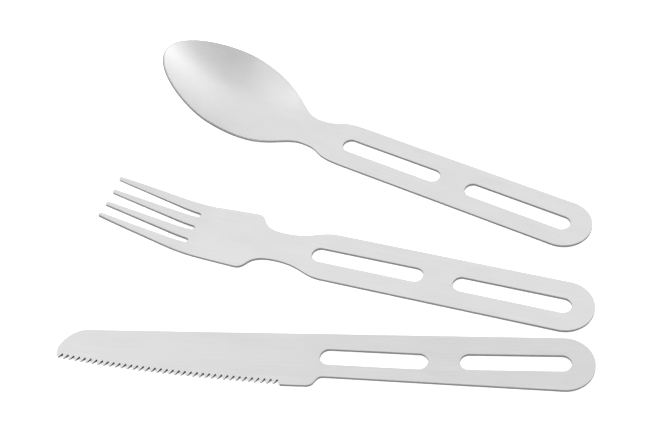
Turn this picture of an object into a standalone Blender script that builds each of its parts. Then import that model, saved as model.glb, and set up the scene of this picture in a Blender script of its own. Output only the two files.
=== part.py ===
"""Picnic cutlery: a spoon, a fork and a knife, each cut and pressed from one sheet of stainless steel.

The three pieces lie loose on a flat surface, fanned apart, with their handles towards +X.
Each piece is drawn in its own frame, where X runs from the butt of the handle to the tip,
Y runs across the piece, and Z = 0 is the surface that it lies on.
A curve below is the four points of a cubic Bezier curve.
"""

import math

import bmesh
import bpy
import numpy as np
from mathutils import Matrix, Vector, geometry

MM = 0.001

# The sheet that all three pieces are cut from.
SHEET = 1.2 * MM
EDGE_BREAK = 0.12 * MM
EDGE_ANGLE = math.radians(70)
SHARP_ANGLE = math.radians(35)

# How finely round stretches are drawn.
CORNER_STEPS = 4
QUARTER_STEPS = 12
CURVE_STEPS = 12
BOWL_STEPS = 20

# The handles of the fork and the spoon.
HANDLE_HALF = 10.2 * MM
SLOT_LENGTH = 41.4 * MM
SLOT_WIDTH = 6.15 * MM
SLOT_CENTRES = (28.35 * MM, 80.5 * MM)

# Fork.
FORK_LENGTH = 180.4 * MM
FORK_WAIST = (113.5 * MM, 6.2 * MM)
FORK_SHOULDER = (127.1 * MM, 12.4 * MM)
FORK_NECK_IN = ((94.4 * MM, HANDLE_HALF), (102 * MM, HANDLE_HALF), (103.2 * MM, FORK_WAIST[1]), FORK_WAIST)
FORK_NECK_OUT = (FORK_WAIST, (125.4 * MM, FORK_WAIST[1]), (121.4 * MM, FORK_SHOULDER[1]), FORK_SHOULDER)
TINE_CORNER = 0.65 * MM
TINE_OUTSIDE = (FORK_LENGTH - TINE_CORNER, 9.6 * MM)
FORK_SIDE = (FORK_SHOULDER, (143 * MM, 11.85 * MM), (177 * MM, 10.1 * MM), TINE_OUTSIDE)
BEND_START = 141.5 * MM
BEND_RADIUS = 48.0 * MM
BEND_ANGLE = math.radians(17.4)
BEND_STEPS = 8
TINE_ROOT = 147.6 * MM
GAP_PITCH_AT_ROOT = 6.1 * MM
GAP_PITCH_AT_TIP = 5.95 * MM
GAP_AT_ROOT = 2.0 * MM
GAP_AT_TIP = 4.3 * MM
TINE_DISH = 0.85 * MM

# Spoon. The middle of its bowl rises in one arc to the tip, and its rim rises at one slope.
SPOON_LENGTH = 180.75 * MM
SPOON_NECK = (116.0 * MM, 6.7 * MM)
BOWL_SIDE = (150.75 * MM, 18.8 * MM)
SPOON_NECK_IN = ((97 * MM, HANDLE_HALF), (110.6 * MM, HANDLE_HALF), (106.4 * MM, SPOON_NECK[1]), SPOON_NECK)
BOWL_BACK = (SPOON_NECK, (125.6 * MM, SPOON_NECK[1]), (128.3 * MM, BOWL_SIDE[1]), BOWL_SIDE)
BOWL_FRONT = (BOWL_SIDE, (160.95 * MM, BOWL_SIDE[1]), (SPOON_LENGTH, 10.55 * MM), (SPOON_LENGTH, 0))
RIM_START = 116.7 * MM
RIM_BLEND = 20.0 * MM
RIM_SLOPE = 0.36
FLOOR_RISE_START = 129.0 * MM
BOWL_CELL = 3.0 * MM
BOWL_COLUMNS = 6

# Knife. The back of its blade lies along Y = 0, and its edge faces +Y.
KNIFE_LENGTH = 183.0 * MM
KNIFE_BUTT_RADIUS = 10.1 * MM
KNIFE_SLOT_LENGTH = 36.4 * MM
KNIFE_SLOT_WIDTH = 6.15 * MM
KNIFE_SLOTS = ((25.8 * MM, 10.05 * MM, 0.35), (72.6 * MM, 9.8 * MM, -2.0))
GRIP_END = (88.8 * MM, 17.0 * MM)
HEEL_START = (94.6 * MM, 20.6 * MM)
HEEL_END = (103.2 * MM, 20.5 * MM)
EDGE_TIP = (182.0 * MM, 11.7 * MM)
EDGE_THIRD = (EDGE_TIP[0] - HEEL_END[0]) / 3
NOSE_FRONT = (KNIFE_LENGTH, 8.3 * MM)
NOSE_BACK = (174.0 * MM, 0)
HEEL_STEP = (GRIP_END, (92.2 * MM, 16.9 * MM), (91 * MM, HEEL_START[1]), HEEL_START)
EDGE = (HEEL_END, (HEEL_END[0] + EDGE_THIRD, 18.7 * MM), (EDGE_TIP[0] - EDGE_THIRD, 16.7 * MM), EDGE_TIP)
NOSE_CORNER = (EDGE_TIP, (182.6 * MM, 10.9 * MM), (KNIFE_LENGTH, 10 * MM), NOSE_FRONT)
NOSE = (NOSE_FRONT, (KNIFE_LENGTH, 5.3 * MM), (178.8 * MM, 0), NOSE_BACK)
TEETH = 37
TOOTH_DEPTH = 1.8 * MM
TOOTH_FLAT = 0.3 * MM
TOOTH_TIP_RISE = 0.8 * MM

# Where each butt lies, and the angle in degrees that the piece points at from there.
PLACES = {
    "spoon": (82.2 * MM, 23.75 * MM, 168.14),
    "fork": (90.7 * MM, -9.3 * MM, 180.0),
    "knife": (93.0 * MM, -19.85 * MM, 193.73),
}

STEEL = {"spoon": (0.66, 0.66, 0.67), "fork": (0.68, 0.68, 0.69), "knife": (0.70, 0.70, 0.71)}
STEEL_ROUGHNESS = 0.34


def arc(centre, radius, start, end, steps):
    """Points along an arc from the angle start to the angle end, in degrees."""
    angles = [math.radians(start + (end - start) * i / steps) for i in range(steps + 1)]
    return [(centre[0] + radius * math.cos(a), centre[1] + radius * math.sin(a)) for a in angles]


def curve(corners, steps):
    """Points along a cubic Bezier curve, without its last point."""
    points = geometry.interpolate_bezier(*[Vector((*corner, 0)) for corner in corners], steps + 1)
    return [(point.x, point.y) for point in points[:-1]]


def whole(half, end=()):
    """The outline of a piece from its +Y half, drawn from the butt to the tip, and what closes its end."""
    other = [(x, -y) for x, y in reversed(half) if y > 0]
    return half + list(end) + other


def prism(name, outline, low, high):
    """A flat solid with this outline, from the height low to the height high."""
    mesh = bpy.data.meshes.new(name)
    body = bmesh.new()
    floor = body.faces.new([body.verts.new((x, y, low)) for x, y in outline])
    raised = bmesh.ops.extrude_face_region(body, geom=[floor])["geom"]
    top = [item for item in raised if isinstance(item, bmesh.types.BMVert)]
    bmesh.ops.translate(body, verts=top, vec=(0, 0, high - low))
    bmesh.ops.recalc_face_normals(body, faces=body.faces)
    body.to_mesh(mesh)
    body.free()
    return bpy.data.objects.new(name, mesh)


def cross_cut(piece, rows, columns):
    """Adds edges across the piece at each X in rows and each Y in columns."""
    body = bmesh.new()
    body.from_mesh(piece.data)
    planes = [((x, 0, 0), (1, 0, 0)) for x in rows] + [((0, y, 0), (0, 1, 0)) for y in columns]
    for point, normal in planes:
        everything = body.verts[:] + body.edges[:] + body.faces[:]
        bmesh.ops.bisect_plane(body, geom=everything, dist=1e-7, plane_co=point, plane_no=normal)
    body.to_mesh(piece.data)
    body.free()


def press(piece, height):
    """Presses the flat piece so that its upper face lies at height(x, y), and stays one sheet thick."""
    step = 0.01 * MM
    for vertex in piece.data.vertices:
        x, y, z = vertex.co
        top = height(x, y)
        slope_x = (top - height(x - step, y)) / step
        slope_y = (height(x, y + step) - height(x, y - step)) / (2 * step)
        normal = Vector((-slope_x, -slope_y, 1)).normalized()
        vertex.co = Vector((x, y, top)) + (z - SHEET) * normal


def cut_slot(piece, x, y, angle, length, width):
    """Cuts one of the handle's two long slots, which has two straight sides and two half circles."""
    radius = width / 2
    reach = length / 2 - radius
    outline = arc((reach, 0), radius, -90, 90, QUARTER_STEPS)
    outline += arc((-reach, 0), radius, 90, 270, QUARTER_STEPS)
    cutter = prism(f"{piece.name}_slot", outline, -SHEET, 2 * SHEET)
    cutter.data.transform(Matrix.Translation((x, y, 0)) @ Matrix.Rotation(math.radians(angle), 4, "Z"))
    bpy.context.collection.objects.link(cutter)
    cutter.parent = piece
    cutter.hide_render = True
    cutter.display_type = "WIRE"
    hole = piece.modifiers.new(cutter.name, "BOOLEAN")
    hole.operation = "DIFFERENCE"
    hole.solver = "EXACT"
    hole.object = cutter


def finish(piece):
    """Breaks the cut edges, gives the piece its steel, and lays it in its place."""
    edges = piece.modifiers.new("broken_edges", "BEVEL")
    edges.width = EDGE_BREAK
    edges.segments = 1
    edges.limit_method = "ANGLE"
    edges.angle_limit = EDGE_ANGLE
    steel = bpy.data.materials.new(f"{piece.name}_steel")
    steel.use_nodes = True
    surface = steel.node_tree.nodes["Principled BSDF"]
    surface.inputs["Base Color"].default_value = (*STEEL[piece.name], 1)
    surface.inputs["Metallic"].default_value = 1.0
    surface.inputs["Roughness"].default_value = STEEL_ROUGHNESS
    piece.data.materials.append(steel)
    piece.data.shade_smooth()
    piece.data.set_sharp_from_angle(angle=SHARP_ANGLE)
    x, y, angle = PLACES[piece.name]
    piece.location = (x, y, 0)
    piece.rotation_euler = (0, 0, math.radians(angle))
    bpy.context.collection.objects.link(piece)


def butt_half():
    """Half of the round butt of the fork's or the spoon's handle, from its middle to its side."""
    return [(0.0, 0.0)] + arc((HANDLE_HALF, 0), HANDLE_HALF, 180, 90, QUARTER_STEPS)[1:]


def tine_gap(number):
    """The outline between two tines: a round root, and a gap that widens to the rounded tine tips."""
    root = (TINE_ROOT + GAP_AT_ROOT / 2, number * GAP_PITCH_AT_ROOT)
    tip_x = FORK_LENGTH - TINE_CORNER
    tip_y = number * GAP_PITCH_AT_TIP
    reach = GAP_AT_TIP / 2 + TINE_CORNER
    upper = arc((tip_x, tip_y + reach), TINE_CORNER, 0, -90, CORNER_STEPS)
    lower = arc((tip_x, tip_y - reach), TINE_CORNER, 90, 0, CORNER_STEPS)
    return upper + arc(root, GAP_AT_ROOT / 2, 90, 270, QUARTER_STEPS) + lower


def fork_height(x, y):
    """The fork is flat as far as its palm, then bends up to its tips, the middle tines a little less."""
    bend_reach = BEND_RADIUS * math.sin(BEND_ANGLE)
    into_bend = min(max(0.0, x - BEND_START), bend_reach)
    past_bend = max(0.0, x - BEND_START - bend_reach)
    rise = BEND_RADIUS - math.sqrt(BEND_RADIUS**2 - into_bend**2) + past_bend * math.tan(BEND_ANGLE)
    along_tine = max(0.0, x - TINE_ROOT) / (FORK_LENGTH - TINE_ROOT)
    return SHEET + rise - TINE_DISH * along_tine * (1 - (y / TINE_OUTSIDE[1]) ** 2)


def make_fork():
    """A slotted handle, a waist, and a palm whose four tines bend up to their tips."""
    half = butt_half()
    for stretch in (FORK_NECK_IN, FORK_NECK_OUT, FORK_SIDE):
        half += curve(stretch, CURVE_STEPS)
    corner = (TINE_OUTSIDE[0], TINE_OUTSIDE[1] - TINE_CORNER)
    half += arc(corner, TINE_CORNER, 90, 0, CORNER_STEPS)
    gaps = tine_gap(1) + tine_gap(0) + tine_gap(-1)
    fork = prism("fork", whole(half, gaps), 0, SHEET)
    bend_reach = BEND_RADIUS * math.sin(BEND_ANGLE)
    rows = [BEND_START + bend_reach * i / BEND_STEPS for i in range(BEND_STEPS + 1)]
    cross_cut(fork, rows, [])
    press(fork, fork_height)
    for x in SLOT_CENTRES:
        cut_slot(fork, x, 0, 0, SLOT_LENGTH, SLOT_WIDTH)
    finish(fork)


def rim_height(x):
    """The height of the spoon's rim: level with the handle, then rising at one slope to the tip."""
    along = max(0.0, x - RIM_START)
    blended = min(along, RIM_BLEND)
    return SHEET + RIM_SLOPE * (blended**2 / (2 * RIM_BLEND) + along - blended)


def floor_height(x):
    """The height of the bowl's middle: level with the handle, then one arc that meets the rim at the tip."""
    run = SPOON_LENGTH - FLOOR_RISE_START
    rise = rim_height(SPOON_LENGTH) - SHEET
    radius = (run**2 + rise**2) / (2 * rise)
    along = max(0.0, x - FLOOR_RISE_START)
    return SHEET + radius - math.sqrt(radius**2 - along**2)


def make_spoon():
    """A slotted handle, a neck, and a bowl whose rim rises towards its tip."""
    bowl = curve(BOWL_BACK, BOWL_STEPS) + curve(BOWL_FRONT, BOWL_STEPS) + [BOWL_FRONT[-1]]
    rim_x, rim_y = np.array(bowl).T

    def height(x, y):
        half = float(np.interp(x, rim_x, rim_y))
        across = abs(y) / half if half > 0 else 1.0
        return floor_height(x) + (rim_height(x) - floor_height(x)) * across**2

    half = butt_half() + curve(SPOON_NECK_IN, CURVE_STEPS) + bowl
    spoon = prism("spoon", whole(half), 0, SHEET)
    rows = np.arange(RIM_START, SPOON_LENGTH, BOWL_CELL)
    columns = np.arange(-BOWL_COLUMNS, BOWL_COLUMNS + 1) * BOWL_CELL
    cross_cut(spoon, rows, columns)
    press(spoon, height)
    for x in SLOT_CENTRES:
        cut_slot(spoon, x, 0, 0, SLOT_LENGTH, SLOT_WIDTH)
    finish(spoon)


def blunt(point):
    """The two ends of the short flat, along X, at a notch's root or a tooth's tip."""
    x, y = point
    return [(x - TOOTH_FLAT / 2, y), (x + TOOTH_FLAT / 2, y)]


def tooth_outlines(nose_corner):
    """Each tooth's outline from root to root. The last tooth is the corner that the nose starts from."""
    tips = [Vector(point) for point in curve(EDGE, TEETH) + [EDGE_TIP]]
    roots = []
    for here, there in zip(tips, tips[1:]):
        along = (there - here).normalized()
        roots.append(blunt((here + there) / 2 + Vector((along.y, -along.x)) * TOOTH_DEPTH))
    teeth = [[left[1], *blunt(tip), right[0]] for left, tip, right in zip(roots, tips[1:], roots[1:])]
    return roots[0][:1], teeth + [[roots[-1][1], *nose_corner[:2]]]


def grind_teeth(knife, teeth):
    """Thins each tooth from below, in one slope from its root to its tip."""
    body = bmesh.new()
    body.from_mesh(knife.data)

    def lower_vertex(corner):
        point = Vector((*corner, 0))
        return min(body.verts, key=lambda vertex: (vertex.co - point).length)

    for start, *tip, end in teeth:
        bmesh.ops.connect_verts(body, verts=[lower_vertex(start), lower_vertex(end)])
        for vertex in [lower_vertex(corner) for corner in tip]:
            vertex.co.z = TOOTH_TIP_RISE
    body.to_mesh(knife.data)
    body.free()


def make_knife():
    """A slotted grip and a round-nosed blade with a straight back, a plain heel and a toothed edge."""
    radius = KNIFE_BUTT_RADIUS
    taper = math.degrees(math.atan2(2 * radius - GRIP_END[1], GRIP_END[0] - radius))
    outline = arc((radius, radius), radius, -90, -270 - taper, 2 * QUARTER_STEPS)
    nose_corner = curve(NOSE_CORNER, CORNER_STEPS)
    first_root, teeth = tooth_outlines(nose_corner)
    outline += curve(HEEL_STEP, CURVE_STEPS) + [HEEL_START, HEEL_END] + first_root
    for tooth in teeth:
        outline += tooth
    outline += nose_corner[2:] + curve(NOSE, CURVE_STEPS) + [NOSE_BACK]
    knife = prism("knife", outline, 0, SHEET)
    grind_teeth(knife, teeth)
    for x, y, angle in KNIFE_SLOTS:
        cut_slot(knife, x, y, angle, KNIFE_SLOT_LENGTH, KNIFE_SLOT_WIDTH)
    finish(knife)


for old in list(bpy.data.objects):
    bpy.data.objects.remove(old)
make_spoon()
make_fork()
make_knife()
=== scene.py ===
"""The looks of the picnic cutlery: a spoon, a fork and a knife of brushed stainless steel sheet.

Each piece is drawn in its own frame, where X runs from the butt of the handle to the tip,
Y runs across the piece, and Z = 0 is the surface that it lies on. All sizes are in metres.
A curve below is the four points of a cubic Bezier curve.
"""

import math

import bmesh
import bpy
import numpy as np
from mathutils import Matrix, Vector, geometry


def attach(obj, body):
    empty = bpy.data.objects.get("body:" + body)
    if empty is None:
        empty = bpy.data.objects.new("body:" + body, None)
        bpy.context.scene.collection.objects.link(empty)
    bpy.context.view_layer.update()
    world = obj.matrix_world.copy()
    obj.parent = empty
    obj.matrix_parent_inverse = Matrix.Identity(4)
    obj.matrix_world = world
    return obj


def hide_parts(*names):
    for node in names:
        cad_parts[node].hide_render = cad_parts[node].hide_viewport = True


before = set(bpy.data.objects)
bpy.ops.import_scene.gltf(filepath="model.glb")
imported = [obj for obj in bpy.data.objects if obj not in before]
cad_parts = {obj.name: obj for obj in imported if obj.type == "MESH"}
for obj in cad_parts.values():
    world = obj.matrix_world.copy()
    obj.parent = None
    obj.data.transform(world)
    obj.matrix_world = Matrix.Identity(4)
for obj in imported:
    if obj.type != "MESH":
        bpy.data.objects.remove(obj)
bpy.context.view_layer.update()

MM = 0.001

# Points that are closer than about this are one point.
SAME_POINT = 0.0001 * MM

# The sheet that all three pieces are cut from, and how far its edges are rounded: most of them,
# those round the knife's teeth, and those of the bowl's rim.
SHEET = 1.2 * MM
EDGE_ROUND = 0.12 * MM
TOOTH_ROUND = 0.06 * MM
RIM_ROUND = 0.3 * MM
EDGE_SEGMENTS = 3

# How finely round stretches are drawn.
CORNER_STEPS = 6
QUARTER_STEPS = 20
CURVE_STEPS = 28
BOWL_STEPS = 44

# The handles of the fork and the spoon.
HANDLE_HALF = 10.2 * MM
SLOT_LENGTH = 41.4 * MM
SLOT_WIDTH = 6.15 * MM
SLOT_CENTRES = (28.35 * MM, 80.5 * MM)

# Fork.
FORK_LENGTH = 180.4 * MM
FORK_WAIST = (113.5 * MM, 6.2 * MM)
FORK_SHOULDER = (127.1 * MM, 12.4 * MM)
FORK_NECK_IN = ((94.4 * MM, HANDLE_HALF), (102 * MM, HANDLE_HALF), (103.2 * MM, FORK_WAIST[1]), FORK_WAIST)
FORK_NECK_OUT = (FORK_WAIST, (125.4 * MM, FORK_WAIST[1]), (121.4 * MM, FORK_SHOULDER[1]), FORK_SHOULDER)
TINE_CORNER = 0.65 * MM
TINE_OUTSIDE = (FORK_LENGTH - TINE_CORNER, 9.6 * MM)
FORK_SIDE = (FORK_SHOULDER, (143 * MM, 11.85 * MM), (177 * MM, 10.1 * MM), TINE_OUTSIDE)
BEND_START = 141.5 * MM
BEND_RADIUS = 48.0 * MM
BEND_ANGLE = math.radians(17.4)
BEND_STEPS = 18
TINE_ROOT = 147.6 * MM
GAP_PITCH_AT_ROOT = 6.1 * MM
GAP_PITCH_AT_TIP = 5.95 * MM
GAP_AT_ROOT = 2.0 * MM
GAP_AT_TIP = 4.3 * MM
TINE_DISH = 0.85 * MM

# Spoon. The middle of its bowl rises in one arc to the tip, and its rim rises at one slope. From
# RIM_FULL on, the rim's edges are rounded by RIM_ROUND.
SPOON_LENGTH = 180.75 * MM
SPOON_NECK = (116.0 * MM, 6.7 * MM)
BOWL_SIDE = (150.75 * MM, 18.8 * MM)
SPOON_NECK_IN = ((97 * MM, HANDLE_HALF), (110.6 * MM, HANDLE_HALF), (106.4 * MM, SPOON_NECK[1]), SPOON_NECK)
BOWL_BACK = (SPOON_NECK, (125.6 * MM, SPOON_NECK[1]), (128.3 * MM, BOWL_SIDE[1]), BOWL_SIDE)
BOWL_FRONT = (BOWL_SIDE, (160.95 * MM, BOWL_SIDE[1]), (SPOON_LENGTH, 10.55 * MM), (SPOON_LENGTH, 0))
RIM_START = 116.7 * MM
RIM_BLEND = 20.0 * MM
RIM_SLOPE = 0.36
RIM_FULL = 134.0 * MM
FLOOR_RISE_START = 129.0 * MM
BOWL_CENTRE = (150.0 * MM, 0.0)
BOWL_RINGS = 31
NECK_CELLS = 8

# Knife. The back of its blade lies along Y = 0, and its edge faces +Y. Its teeth are ground from
# below, which raises their lower face by TOOTH_TIP_RISE at the tip.
KNIFE_LENGTH = 183.0 * MM
KNIFE_BUTT_RADIUS = 10.1 * MM
KNIFE_SLOT_LENGTH = 36.4 * MM
KNIFE_SLOT_WIDTH = 6.15 * MM
KNIFE_SLOTS = ((25.8 * MM, 10.05 * MM, 0.35), (72.6 * MM, 9.8 * MM, -2.0))
GRIP_END = (88.8 * MM, 17.0 * MM)
HEEL_START = (94.6 * MM, 20.6 * MM)
HEEL_END = (103.2 * MM, 20.5 * MM)
EDGE_TIP = (182.0 * MM, 11.7 * MM)
EDGE_THIRD = (EDGE_TIP[0] - HEEL_END[0]) / 3
NOSE_FRONT = (KNIFE_LENGTH, 8.3 * MM)
NOSE_BACK = (174.0 * MM, 0)
HEEL_STEP = (GRIP_END, (92.2 * MM, 16.9 * MM), (91 * MM, HEEL_START[1]), HEEL_START)
EDGE = (HEEL_END, (HEEL_END[0] + EDGE_THIRD, 18.7 * MM), (EDGE_TIP[0] - EDGE_THIRD, 16.7 * MM), EDGE_TIP)
NOSE_CORNER = (EDGE_TIP, (182.6 * MM, 10.9 * MM), (KNIFE_LENGTH, 10 * MM), NOSE_FRONT)
NOSE = (NOSE_FRONT, (KNIFE_LENGTH, 5.3 * MM), (178.8 * MM, 0), NOSE_BACK)
TEETH = 37
TOOTH_DEPTH = 1.8 * MM
TOOTH_FLAT = 0.3 * MM
TOOTH_TIP_RISE = 0.8 * MM

# Where each butt lies, and the angle in degrees that the piece points at from there.
PLACES = {
    "spoon": (82.2 * MM, 23.75 * MM, 168.14),
    "fork": (90.7 * MM, -9.3 * MM, 180.0),
    "knife": (93.0 * MM, -19.85 * MM, 193.73),
}

# The looks of the steel: its grains' size along, across and through the piece, and how deep they
# are, and how far its grey and its roughness spread over them. The spoon's grain is as fine through
# the sheet as across it, so that the slopes of the bowl show no broad lines. The knife's harder
# steel is a little darker. The rounded edges are darker and smoother than the faces. The cut walls
# are darker still, partly the rough cut steel's own grey and partly painted shade, with a grain that
# runs through the sheet, and the knife's notch walls are darkest, painted shade in the notches.
PRESSED_FACE = {
    "grain": (0.03, 0.0002, 0.0002),
    "depth": 0.004 * MM,
    "grey": (0.615, 0.675),
    "roughness": (0.28, 0.38),
}
BENT_FACE = {**PRESSED_FACE, "grain": (0.03, 0.0002, 0.03)}
HARD_FACE = {**BENT_FACE, "grey": (0.57, 0.625)}
FACES = {"spoon": PRESSED_FACE, "fork": BENT_FACE, "knife": HARD_FACE}
WORN_EDGE = {**PRESSED_FACE, "grey": (0.44, 0.56), "roughness": (0.2, 0.32)}
# The cut walls' grey: partly the rough cut steel's own, partly painted shade.
CUT_WALL_AND_PAINTED_SHADE = {
    "grain": (0.0003, 0.0003, 0.006),
    "depth": 0.01 * MM,
    "grey": (0.155, 0.215),
    "roughness": (0.4, 0.55),
}
# The notch walls' near-black grey is painted shade in the knife's notches.
NOTCH_PAINTED_SHADE = {**CUT_WALL_AND_PAINTED_SHADE, "grey": (0.025, 0.05)}
SMUDGE = (0.012, 0.006, 0.006)
SMUDGE_GREY = (0.985, 1.015)
SMUDGE_ROUGHNESS = (-0.02, 0.02)
GRAIN_DETAIL = 4.0
SMUDGE_DETAIL = 3.0
BUMP_STRENGTH = 0.3

# The part of a noise texture's range that most of its values lie in.
NOISE_RANGE = (0.3, 0.7)

# The order of a piece's materials. Only the knife has notch walls, whose near-black grey is painted shade.
FACE, WALL, WORN, NOTCH = range(4)

# The floor's glow, a soft light at the right, and the white surround's strength and patches. A patch
# is a direction, the cosine of the angle from it at which the patch ends, and what the patch adds.
FLOOR_GLOW = 0.4
SIDE_LIGHT = {"location": (1.0, 0.34, 0.42), "size": 1.2, "power": 0.8}
SURROUND = 1.115
SURROUND_PATCHES = (
    ((0.16, -0.46, 0.87), 0.52, -0.49),
    ((0.98, 0.13, 0.16), 0.16, 0.42),
    ((-0.53, -0.24, 0.81), 0.69, 0.72),
)


# ---------------------------------------------------------------- outlines


def arc(centre, radius, start, end, steps):
    """Points along an arc from the angle start to the angle end, in degrees."""
    angles = [math.radians(start + (end - start) * i / steps) for i in range(steps + 1)]
    return [(centre[0] + radius * math.cos(a), centre[1] + radius * math.sin(a)) for a in angles]


def curve(corners, steps):
    """Points along a cubic Bezier curve, without its last point."""
    points = geometry.interpolate_bezier(*[Vector((*corner, 0)) for corner in corners], steps + 1)
    return [(point.x, point.y) for point in points[:-1]]


def mirrored(polygon):
    """The same polygon on the other side of Y = 0."""
    return [(x, -y) for x, y in reversed(polygon)]


def slot_side(length, width, start, end):
    """One side of a slot centred on the origin, from the end at +X to the end at -X, or back."""
    radius = width / 2
    reach = length / 2 - radius
    middle = (start + end) / 2
    near = 1 if math.cos(math.radians(start)) > 0 else -1
    first = arc((near * reach, 0), radius, start, middle, QUARTER_STEPS)
    return first + arc((-near * reach, 0), radius, middle, end, QUARTER_STEPS)


def handle_slots():
    """The +Y sides of the two slots of the fork's or the spoon's handle, from the tip towards the butt."""
    side = slot_side(SLOT_LENGTH, SLOT_WIDTH, 0, 180)
    return [(x + centre, y) for centre in reversed(SLOT_CENTRES) for x, y in side]


def butt_half():
    """Half of the round butt of the fork's or the spoon's handle, from its middle to its side."""
    return [(0.0, 0.0)] + arc((HANDLE_HALF, 0), HANDLE_HALF, 180, 90, QUARTER_STEPS)[1:]


# ---------------------------------------------------------------- solids


def plate(polygons):
    """One closed sheet, from Z = 0 to its thickness, whose faces are these polygons side by side."""
    body = bmesh.new()
    corners = {}
    for polygon in polygons:
        face = []
        for x, y in polygon:
            key = (round(x / SAME_POINT), round(y / SAME_POINT))
            if key not in corners:
                corners[key] = body.verts.new((x, y, 0))
            if not face or face[-1] is not corners[key]:
                face.append(corners[key])
        if face[0] is face[-1]:
            face.pop()
        body.faces.new(face)
    raised = bmesh.ops.extrude_face_region(body, geom=body.faces[:])["geom"]
    top = [item for item in raised if isinstance(item, bmesh.types.BMVert)]
    bmesh.ops.translate(body, verts=top, vec=(0, 0, SHEET))
    bmesh.ops.recalc_face_normals(body, faces=body.faces)
    return body


def cross_cut(body, rows):
    """Adds edges across the sheet at each X in rows."""
    for x in rows:
        parts = body.verts[:] + body.edges[:] + body.faces[:]
        bmesh.ops.bisect_plane(body, geom=parts, dist=SAME_POINT, plane_co=(x, 0, 0), plane_no=(1, 0, 0))


def mark_edges(body, rounding):
    """Marks the cut walls, and how far each edge of theirs is rounded, as a share of RIM_ROUND."""
    weight = body.edges.layers.float.new("bevel_weight_edge")
    for face in body.faces:
        # The cut walls take the WALL look, whose dark grey is partly painted shade.
        face.material_index = WALL if abs(face.normal.z) < 0.5 else FACE
        face.smooth = True
    for edge in body.edges:
        sides = {face.material_index for face in edge.link_faces}
        if len(sides) == 2:
            middle = (edge.verts[0].co + edge.verts[1].co) / 2
            edge[weight] = rounding(middle.x, middle.y) / RIM_ROUND


def press(body, height):
    """Presses the flat sheet so that its upper face lies at height(x, y), and stays one sheet thick."""
    step = 0.01 * MM
    for vertex in body.verts:
        x, y, z = vertex.co
        top = height(x, y)
        slope_x = (top - height(x - step, y)) / step
        slope_y = (height(x, y + step) - height(x, y - step)) / (2 * step)
        normal = Vector((-slope_x, -slope_y, 1)).normalized()
        vertex.co = Vector((x, y, top)) + (z - SHEET) * normal


def finish(name, body, materials):
    """Lays the piece where the CAD piece of this name lies, and rounds its edges."""
    x, y, angle = PLACES[name]
    body.transform(Matrix.Translation((x, y, 0)) @ Matrix.Rotation(math.radians(angle), 4, "Z"))
    mesh = bpy.data.meshes.new(f"{name}_sheet")
    body.to_mesh(mesh)
    body.free()
    piece = bpy.data.objects.new(f"{name}_sheet", mesh)
    bpy.context.collection.objects.link(piece)
    for material in materials:
        mesh.materials.append(material)
    rounding = piece.modifiers.new("rounded_edges", "BEVEL")
    rounding.width = RIM_ROUND
    rounding.segments = EDGE_SEGMENTS
    rounding.limit_method = "WEIGHT"
    rounding.use_clamp_overlap = False
    rounding.harden_normals = True
    rounding.material = WORN
    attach(piece, name)
    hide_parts(name)


# ---------------------------------------------------------------- fork


def tine_gap(number):
    """The outline between two tines: a round root, and a gap that widens to the rounded tine tips."""
    root = (TINE_ROOT + GAP_AT_ROOT / 2, number * GAP_PITCH_AT_ROOT)
    tip_x = FORK_LENGTH - TINE_CORNER
    tip_y = number * GAP_PITCH_AT_TIP
    reach = GAP_AT_TIP / 2 + TINE_CORNER
    upper = arc((tip_x, tip_y + reach), TINE_CORNER, 0, -90, CORNER_STEPS)
    lower = arc((tip_x, tip_y - reach), TINE_CORNER, 90, 0, CORNER_STEPS)
    return upper + arc(root, GAP_AT_ROOT / 2, 90, 270, 2 * QUARTER_STEPS) + lower


def fork_height(x, y):
    """The fork is flat as far as its palm, then bends up to its tips, the middle tines a little less."""
    bend_reach = BEND_RADIUS * math.sin(BEND_ANGLE)
    into_bend = min(max(0.0, x - BEND_START), bend_reach)
    past_bend = max(0.0, x - BEND_START - bend_reach)
    rise = BEND_RADIUS - math.sqrt(BEND_RADIUS**2 - into_bend**2) + past_bend * math.tan(BEND_ANGLE)
    along_tine = max(0.0, x - TINE_ROOT) / (FORK_LENGTH - TINE_ROOT)
    return SHEET + rise - TINE_DISH * along_tine * (1 - (y / TINE_OUTSIDE[1]) ** 2)


def make_fork(materials):
    """A slotted handle, a waist, and a palm whose four tines bend up to their tips."""
    side = butt_half()
    for stretch in (FORK_NECK_IN, FORK_NECK_OUT, FORK_SIDE):
        side += curve(stretch, CURVE_STEPS)
    corner = (TINE_OUTSIDE[0], TINE_OUTSIDE[1] - TINE_CORNER)
    side += arc(corner, TINE_CORNER, 90, 0, CORNER_STEPS)
    middle_gap = tine_gap(0)
    half_gap = middle_gap[: CORNER_STEPS + 1 + QUARTER_STEPS + 1]
    upper = side + tine_gap(1) + half_gap + handle_slots()
    body = plate([upper, mirrored(upper)])
    bend_reach = BEND_RADIUS * math.sin(BEND_ANGLE)
    cross_cut(body, [BEND_START + bend_reach * i / BEND_STEPS for i in range(BEND_STEPS + 1)])
    mark_edges(body, lambda x, y: EDGE_ROUND)
    press(body, fork_height)
    finish("fork", body, materials)


# ---------------------------------------------------------------- spoon


def rim_height(x):
    """The height of the spoon's rim: level with the handle, then rising at one slope to the tip."""
    along = max(0.0, x - RIM_START)
    blended = min(along, RIM_BLEND)
    return SHEET + RIM_SLOPE * (blended**2 / (2 * RIM_BLEND) + along - blended)


def floor_height(x):
    """The height of the bowl's middle: level with the handle, then one arc that meets the rim at the tip."""
    run = SPOON_LENGTH - FLOOR_RISE_START
    rise = rim_height(SPOON_LENGTH) - SHEET
    radius = (run**2 + rise**2) / (2 * rise)
    along = max(0.0, x - FLOOR_RISE_START)
    return SHEET + radius - math.sqrt(radius**2 - along**2)


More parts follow.
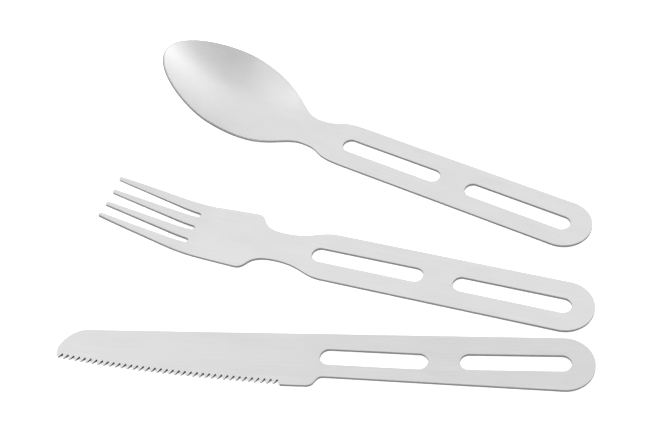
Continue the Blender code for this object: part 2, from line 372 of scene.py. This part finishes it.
def bowl_cells(rim, neck):
    """The bowl's faces: rings that shrink from its outline to its middle, each cut into cells."""
    loop = np.array(rim + mirrored(rim)[1:] + neck[1:-1])
    centre = np.array(BOWL_CENTRE)
    rings = [centre + (1 - i / BOWL_RINGS) * (loop - centre) for i in range(BOWL_RINGS)]
    cells = []
    count = len(loop)
    for outer, inner in zip(rings, rings[1:]):
        for i in range(count):
            j = (i + 1) % count
            cells.append([tuple(outer[i]), tuple(outer[j]), tuple(inner[j]), tuple(inner[i])])
    last = rings[-1]
    cells += [[tuple(last[i]), tuple(last[(i + 1) % count]), BOWL_CENTRE] for i in range(count)]
    return cells


def make_spoon(materials):
    """A slotted handle, a neck, and a bowl whose rim rises towards its tip."""
    rim = curve(BOWL_BACK, BOWL_STEPS) + curve(BOWL_FRONT, BOWL_STEPS) + [BOWL_FRONT[-1]]
    rim_x, rim_y = np.array(rim).T

    def height(x, y):
        half = float(np.interp(x, rim_x, rim_y))
        across = abs(y) / half if half > 0 else 1.0
        return floor_height(x) + (rim_height(x) - floor_height(x)) * across**2

    across = [2 * i / NECK_CELLS - 1 for i in range(NECK_CELLS + 1)]
    neck = [(SPOON_NECK[0], SPOON_NECK[1] * share) for share in across]
    half_neck = [point for point in reversed(neck) if point[1] >= 0]
    upper = butt_half() + curve(SPOON_NECK_IN, CURVE_STEPS) + half_neck + handle_slots()
    body = plate([upper, mirrored(upper)] + bowl_cells(rim, neck))
    mark_edges(body, lambda x, y: float(np.interp(x, (SPOON_NECK[0], RIM_FULL), (EDGE_ROUND, RIM_ROUND))))
    press(body, height)
    finish("spoon", body, materials)


# ---------------------------------------------------------------- knife


def blunt(point):
    """The two ends of the short flat, along X, at a notch's root or a tooth's tip."""
    x, y = point
    return [(x - TOOTH_FLAT / 2, y), (x + TOOTH_FLAT / 2, y)]


def tooth_outlines(nose_corner):
    """Each tooth's outline from root to root. The last tooth is the corner that the nose starts from."""
    tips = [Vector(point) for point in curve(EDGE, TEETH) + [EDGE_TIP]]
    roots = []
    for here, there in zip(tips, tips[1:]):
        along = (there - here).normalized()
        roots.append(blunt((here + there) / 2 + Vector((along.y, -along.x)) * TOOTH_DEPTH))
    teeth = [[left[1], *blunt(tip), right[0]] for left, tip, right in zip(roots, tips[1:], roots[1:])]
    return roots[0][:1], teeth + [[roots[-1][1], *nose_corner[:2]]]


def grind_teeth(body, teeth):
    """Thins each tooth from below, in one slope from its root to its tip."""
    tips = [Vector(corner) for _, *tip, _ in teeth for corner in tip]
    for vertex in body.verts:
        if vertex.co.z == 0 and any((vertex.co.xy - tip).length < SAME_POINT for tip in tips):
            vertex.co.z = TOOTH_TIP_RISE


def knife_slot(slot, start, end):
    """One side of one of the knife's slots, from the angle start to the angle end."""
    x, y, angle = slot
    turn = Matrix.Rotation(math.radians(angle), 2)
    side = [turn @ Vector(point) for point in slot_side(KNIFE_SLOT_LENGTH, KNIFE_SLOT_WIDTH, start, end)]
    return [(point.x + x, point.y + y) for point in side]


def make_knife(materials):
    """A slotted grip and a round-nosed blade with a straight back, a plain heel and a toothed edge."""
    radius = KNIFE_BUTT_RADIUS
    taper = math.degrees(math.atan2(2 * radius - GRIP_END[1], GRIP_END[0] - radius))
    near, far = KNIFE_SLOTS
    edge_side = arc((radius, radius), radius, 180, 90 - taper, QUARTER_STEPS)
    nose_corner = curve(NOSE_CORNER, CORNER_STEPS)
    first_root, teeth = tooth_outlines(nose_corner)
    edge_side += curve(HEEL_STEP, CURVE_STEPS) + [HEEL_START, HEEL_END] + first_root
    for tooth in teeth:
        edge_side += [tooth[0], tooth[-1]]
    edge_side += nose_corner[2:] + [NOSE_FRONT]
    edge_side += knife_slot(far, 0, 180) + knife_slot(near, 0, 180)
    back_side = curve(NOSE, CURVE_STEPS) + [NOSE_BACK]
    back_side += arc((radius, radius), radius, 270, 180, QUARTER_STEPS)
    back_side += knife_slot(near, 180, 360) + knife_slot(far, 180, 360)
    body = plate([edge_side, back_side] + teeth)
    grind_teeth(body, teeth)

    def toothed(x, y):
        return HEEL_END[0] < x < EDGE_TIP[0] and y > EDGE_TIP[1] - TOOTH_DEPTH

    mark_edges(body, lambda x, y: TOOTH_ROUND if toothed(x, y) else EDGE_ROUND)
    # The walls round the teeth take the NOTCH look, whose near-black grey is painted shade in the notches.
    for face in body.faces:
        middle = face.calc_center_median()
        if face.material_index == WALL and toothed(middle.x, middle.y):
            face.material_index = NOTCH
    finish("knife", body, materials)


# ---------------------------------------------------------------- materials


def node(tree, kind, **settings):
    """A new shader node with these properties."""
    made = tree.nodes.new(kind)
    for name, value in settings.items():
        setattr(made, name, value)
    return made


def grain(tree, name, size, detail):
    """A noise value whose grains have this size in metres along, across and through the named piece."""
    x, y, angle = PLACES[name]
    place = node(tree, "ShaderNodeTexCoord")
    scale = node(tree, "ShaderNodeMapping", vector_type="TEXTURE")
    scale.inputs["Location"].default_value = (x, y, 0)
    scale.inputs["Rotation"].default_value = (0, 0, math.radians(angle))
    scale.inputs["Scale"].default_value = size
    noise = node(tree, "ShaderNodeTexNoise")
    noise.inputs["Scale"].default_value = 1.0
    noise.inputs["Detail"].default_value = detail
    tree.links.new(place.outputs["Object"], scale.inputs["Vector"])
    tree.links.new(scale.outputs["Vector"], noise.inputs["Vector"])
    return noise.outputs["Fac"]


def ranged(tree, value, low, high):
    """The noise value spread from low to high."""
    spread = node(tree, "ShaderNodeMapRange")
    spread.inputs["From Min"].default_value = NOISE_RANGE[0]
    spread.inputs["From Max"].default_value = NOISE_RANGE[1]
    spread.inputs["To Min"].default_value = low
    spread.inputs["To Max"].default_value = high
    tree.links.new(value, spread.inputs["Value"])
    return spread.outputs["Result"]


def steel(name, kind, look):
    """Stainless steel whose grey, roughness and surface follow one grain, with faint smudges over it."""
    material = bpy.data.materials.new(f"{name}_{kind}")
    material.use_nodes = True
    tree = material.node_tree
    surface = tree.nodes["Principled BSDF"]
    surface.inputs["Metallic"].default_value = 1.0
    lines = grain(tree, name, look["grain"], GRAIN_DETAIL)
    smudges = grain(tree, name, SMUDGE, SMUDGE_DETAIL)
    shade = node(tree, "ShaderNodeMath", operation="MULTIPLY")
    tree.links.new(ranged(tree, lines, *look["grey"]), shade.inputs[0])
    tree.links.new(ranged(tree, smudges, *SMUDGE_GREY), shade.inputs[1])
    colour = node(tree, "ShaderNodeCombineColor")
    for channel in ("Red", "Green", "Blue"):
        tree.links.new(shade.outputs["Value"], colour.inputs[channel])
    tree.links.new(colour.outputs["Color"], surface.inputs["Base Color"])
    gloss = node(tree, "ShaderNodeMath", operation="ADD")
    tree.links.new(ranged(tree, lines, *look["roughness"]), gloss.inputs[0])
    tree.links.new(ranged(tree, smudges, *SMUDGE_ROUGHNESS), gloss.inputs[1])
    tree.links.new(gloss.outputs["Value"], surface.inputs["Roughness"])
    bump = node(tree, "ShaderNodeBump")
    bump.inputs["Strength"].default_value = BUMP_STRENGTH
    bump.inputs["Distance"].default_value = look["depth"]
    tree.links.new(lines, bump.inputs["Height"])
    tree.links.new(bump.outputs["Normal"], surface.inputs["Normal"])
    return material


# ---------------------------------------------------------------- studio


def make_floor():
    """A plain pale floor that is lit a little from below, as a light table is."""
    mesh = bpy.data.meshes.new("floor")
    reach = 3.0
    corners = [(-reach, -reach, 0), (reach, -reach, 0), (reach, reach, 0), (-reach, reach, 0)]
    mesh.from_pydata(corners, [], [(0, 1, 2, 3)])
    floor = bpy.data.objects.new("floor", mesh)
    bpy.context.collection.objects.link(floor)
    material = bpy.data.materials.new("pale_floor")
    material.use_nodes = True
    surface = material.node_tree.nodes["Principled BSDF"]
    surface.inputs["Base Color"].default_value = (0.95, 0.95, 0.95, 1)
    surface.inputs["Roughness"].default_value = 0.9
    surface.inputs["Emission Color"].default_value = (1, 1, 1, 1)
    surface.inputs["Emission Strength"].default_value = FLOOR_GLOW
    mesh.materials.append(material)


def make_light(name, location, size, power):
    """A square soft light that faces the set."""
    light = bpy.data.lights.new(name, "AREA")
    light.size = size
    light.energy = power
    lamp = bpy.data.objects.new(name, light)
    lamp.location = location
    lamp.rotation_euler = (-Vector(location)).to_track_quat("-Z", "Y").to_euler()
    bpy.context.collection.objects.link(lamp)


def towards(tree, direction, start):
    """A value that rises smoothly from 0 to 1 in a round patch of the surround, centred on a direction."""
    place = node(tree, "ShaderNodeTexCoord")
    along = node(tree, "ShaderNodeVectorMath", operation="DOT_PRODUCT")
    along.inputs[1].default_value = Vector(direction).normalized()
    patch = node(tree, "ShaderNodeMapRange", interpolation_type="SMOOTHSTEP")
    patch.inputs["From Min"].default_value = start
    tree.links.new(place.outputs["Generated"], along.inputs[0])
    tree.links.new(along.outputs["Value"], patch.inputs["Value"])
    return patch.outputs["Result"]


def make_world():
    """A white surround, darker high at the front, and brighter low on the right and high on the left."""
    world = bpy.data.worlds.new("studio")
    world.use_nodes = True
    tree = world.node_tree
    strength = node(tree, "ShaderNodeValue").outputs["Value"]
    strength.default_value = SURROUND
    for direction, start, change in SURROUND_PATCHES:
        patch = node(tree, "ShaderNodeMath", operation="MULTIPLY_ADD")
        patch.inputs[1].default_value = change
        tree.links.new(towards(tree, direction, start), patch.inputs[0])
        tree.links.new(strength, patch.inputs[2])
        strength = patch.outputs["Value"]
    tree.links.new(strength, tree.nodes["Background"].inputs["Strength"])
    tree.nodes["Background"].inputs["Color"].default_value = (1, 1, 1, 1)
    bpy.context.scene.world = world


def make_camera():
    """A view down from the front right, rolled so that the pieces lie more level in it."""
    target = Vector((-11.7, 8.75, 0)) * MM
    place = Vector((126.4, -262.55, 356.4)) * MM
    roll = math.radians(-9.94)
    look = (target - place).normalized()
    right = look.cross(Vector((0, 0, 1))).normalized()
    up = right.cross(look)
    rolled_right = math.cos(roll) * right + math.sin(roll) * up
    rolled_up = math.cos(roll) * up - math.sin(roll) * right
    camera = bpy.data.objects.new("camera", bpy.data.cameras.new("camera"))
    camera.data.lens = 70.45
    camera.data.sensor_width = 36
    turn = Matrix((rolled_right, rolled_up, -look)).transposed().to_4x4()
    camera.matrix_world = Matrix.Translation(place) @ turn
    bpy.context.collection.objects.link(camera)
    bpy.context.scene.camera = camera


makers = {"spoon": make_spoon, "fork": make_fork, "knife": make_knife}
for name, make in makers.items():
    # In the order FACE, WALL, WORN, NOTCH. The walls' grey is partly painted shade, and the notches' grey is
    # painted shade.
    looks = {"brushed_face": FACES[name], "cut_wall_and_painted_shade": CUT_WALL_AND_PAINTED_SHADE, "worn_edge": WORN_EDGE}
    if name == "knife":
        looks["ground_notch"] = NOTCH_PAINTED_SHADE
    make([steel(name, kind, look) for kind, look in looks.items()])

make_floor()
make_world()
make_light("side_light", **SIDE_LIGHT)
make_camera()
bpy.context.scene.view_settings.view_transform = "Standard"
